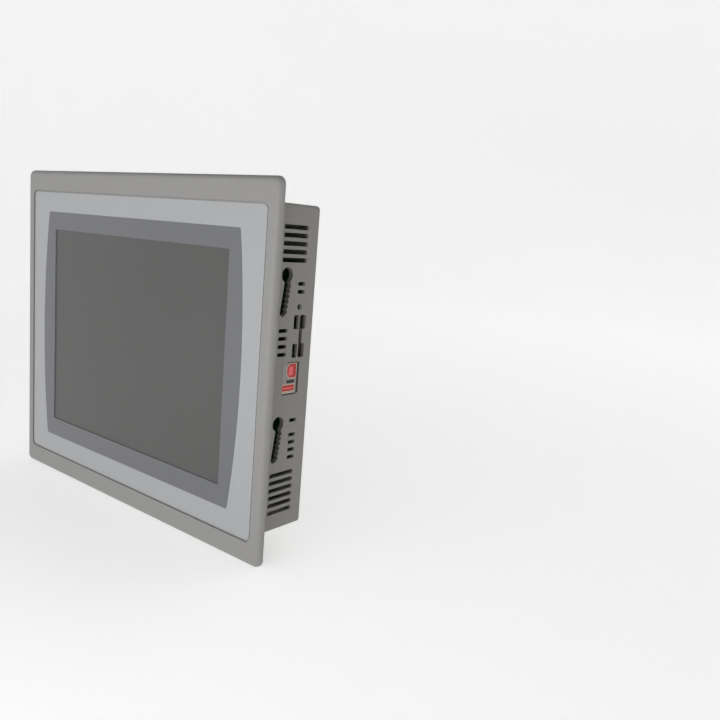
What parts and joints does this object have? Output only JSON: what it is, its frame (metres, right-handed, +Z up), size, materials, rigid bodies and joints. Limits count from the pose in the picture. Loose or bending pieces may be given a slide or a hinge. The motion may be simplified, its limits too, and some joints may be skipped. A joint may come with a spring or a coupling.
{
  "type": "hmi touch panel",
  "caption": "Panel-mount touch-screen operator terminal with a flanged front frame, vented housing, side card slot and a rear bay of connectors.",
  "frame": {"origin": "centre of the panel cut-out, in the plane of the flange's rear seating face", "axes": "+Z up, +X to the right as the operator sees the screen, +Y from the operator into the cabinet; the screen faces -Y"},
  "size_m": [0.297, 0.0696, 0.252],
  "materials": {
    "bezel": "fine-textured moulded plastic, warm light grey",
    "overlay": "satin printed polyester film, silver grey",
    "mask": "satin printed polyester film, blue grey",
    "screen": "anti-glare touch surface over a dark display",
    "foam": "closed-cell foam, black",
    "zinc_steel": "zinc-plated sheet steel",
    "white_plastic": "white moulded plastic",
    "lcd_cell": "polarised display glass",
    "acrylic": "clear acrylic",
    "led": "LED strip with phosphor domes",
    "housing": "textured moulded plastic, mid grey",
    "screw": "zinc-plated steel",
    "brass": "turned brass",
    "board": "green solder mask on glass-fibre board",
    "chip": "black moulded package",
    "pad": "soft silicone pad",
    "aluminium": "extruded aluminium",
    "capacitor": "aluminium can",
    "cable": "polyimide flat cable",
    "black_plastic": "black glass-filled nylon",
    "green_plastic": "green moulded nylon",
    "contact": "gold-flashed copper alloy",
    "label": "printed polyester label"
  },
  "bodies": {
    "terminal": {"bezel_frame": "bezel", "front_overlay": "overlay", "window_mask": "mask", "overlay_adhesive": "foam", "touch_panel": "screen", "display_seal": "foam", "panel_gasket": "foam", "lcd_frame": "zinc_steel", "lcd_glass": "lcd_cell", "light_guide": "acrylic", "backlight_tray": "white_plastic", "led_bar": "led", "lcd_screws": "screw", "housing_shell": "housing", "housing_screws": "screw", "rear_cover": "housing", "cover_screws": "screw", "carrier_plate": "zinc_steel", "plate_screws": "screw", "board_standoffs": "brass", "board_screws": "screw", "main_board": "board", "processor": "chip", "thermal_pad": "pad", "heat_sink": "aluminium", "memory_chips": "chip", "capacitors": "capacitor", "power_inductors": "chip", "board_connectors": "white_plastic", "touch_cable": "cable", "lcd_cable": "cable", "battery_holder": "black_plastic", "coin_cell": "screw", "card_socket": "zinc_steel", "reset_switch": "black_plastic", "port_plate": "zinc_steel", "jack_contacts": "contact", "usb_host_ports": "zinc_steel", "usb_host_inserts": "black_plastic", "usb_device_port": "zinc_steel", "usb_device_insert": "white_plastic", "earth_stud": "screw", "earth_nut": "screw", "earth_washer": "screw", "power_header": "black_plastic", "header_pins": "contact", "side_label": "label", "rating_label": "label", "ethernet_jack_1": "zinc_steel", "ethernet_jack_2": "zinc_steel"},
    "reset_button": {"reset_button": "white_plastic"},
    "battery_door": {"battery_door": "housing"},
    "power_plug": {"power_plug": "green_plastic", "terminal_contacts": "contact"},
    "screw_1": {"terminal_screw_1": "screw"},
    "cage_1": {"terminal_cage_1": "brass"},
    "screw_2": {"terminal_screw_2": "screw"},
    "cage_2": {"terminal_cage_2": "brass"},
    "screw_3": {"terminal_screw_3": "screw"},
    "cage_3": {"terminal_cage_3": "brass"}
  },
  "joints": [
    {"name": "reset_press", "type": "slide", "parent": "terminal", "child": "reset_button", "axis": [-1, 0, 0], "range_m": [0, 0.0008], "stiffness_N_per_m": 300},
    {"name": "battery_door_swing", "type": "hinge", "parent": "terminal", "child": "battery_door", "pos_m": [-0.075, 0.0635, 0.0764], "axis": [1, 0, 0], "range_deg": [0, 95]},
    {"name": "power_plug_pull", "type": "slide", "parent": "terminal", "child": "power_plug", "axis": [0, 0, -1], "range_m": [0, 0.015]},
    {"name": "clamp_screw_1_turn", "type": "hinge", "parent": "power_plug", "child": "screw_1", "pos_m": [-0.07008, 0.05, -0.079], "axis": [0, 1, 0], "range_deg": [0, 1080]},
    {"name": "clamp_cage_1_slide", "type": "slide", "parent": "power_plug", "child": "cage_1", "axis": [0, -1, 0], "range_m": [0, 0.00135]},
    {"name": "clamp_screw_2_turn", "type": "hinge", "parent": "power_plug", "child": "screw_2", "pos_m": [-0.065, 0.05, -0.079], "axis": [0, 1, 0], "range_deg": [0, 1080]},
    {"name": "clamp_cage_2_slide", "type": "slide", "parent": "power_plug", "child": "cage_2", "axis": [0, -1, 0], "range_m": [0, 0.00135]},
    {"name": "clamp_screw_3_turn", "type": "hinge", "parent": "power_plug", "child": "screw_3", "pos_m": [-0.05992, 0.05, -0.079], "axis": [0, 1, 0], "range_deg": [0, 1080]},
    {"name": "clamp_cage_3_slide", "type": "slide", "parent": "power_plug", "child": "cage_3", "axis": [0, -1, 0], "range_m": [0, 0.00135]}
  ],
  "couplings": [
    {"joint": "clamp_screw_1_turn", "follows": "clamp_cage_1_slide", "rad_per_m": 13963},
    {"joint": "clamp_screw_2_turn", "follows": "clamp_cage_2_slide", "rad_per_m": 13963},
    {"joint": "clamp_screw_3_turn", "follows": "clamp_cage_3_slide", "rad_per_m": 13963}
  ]
}
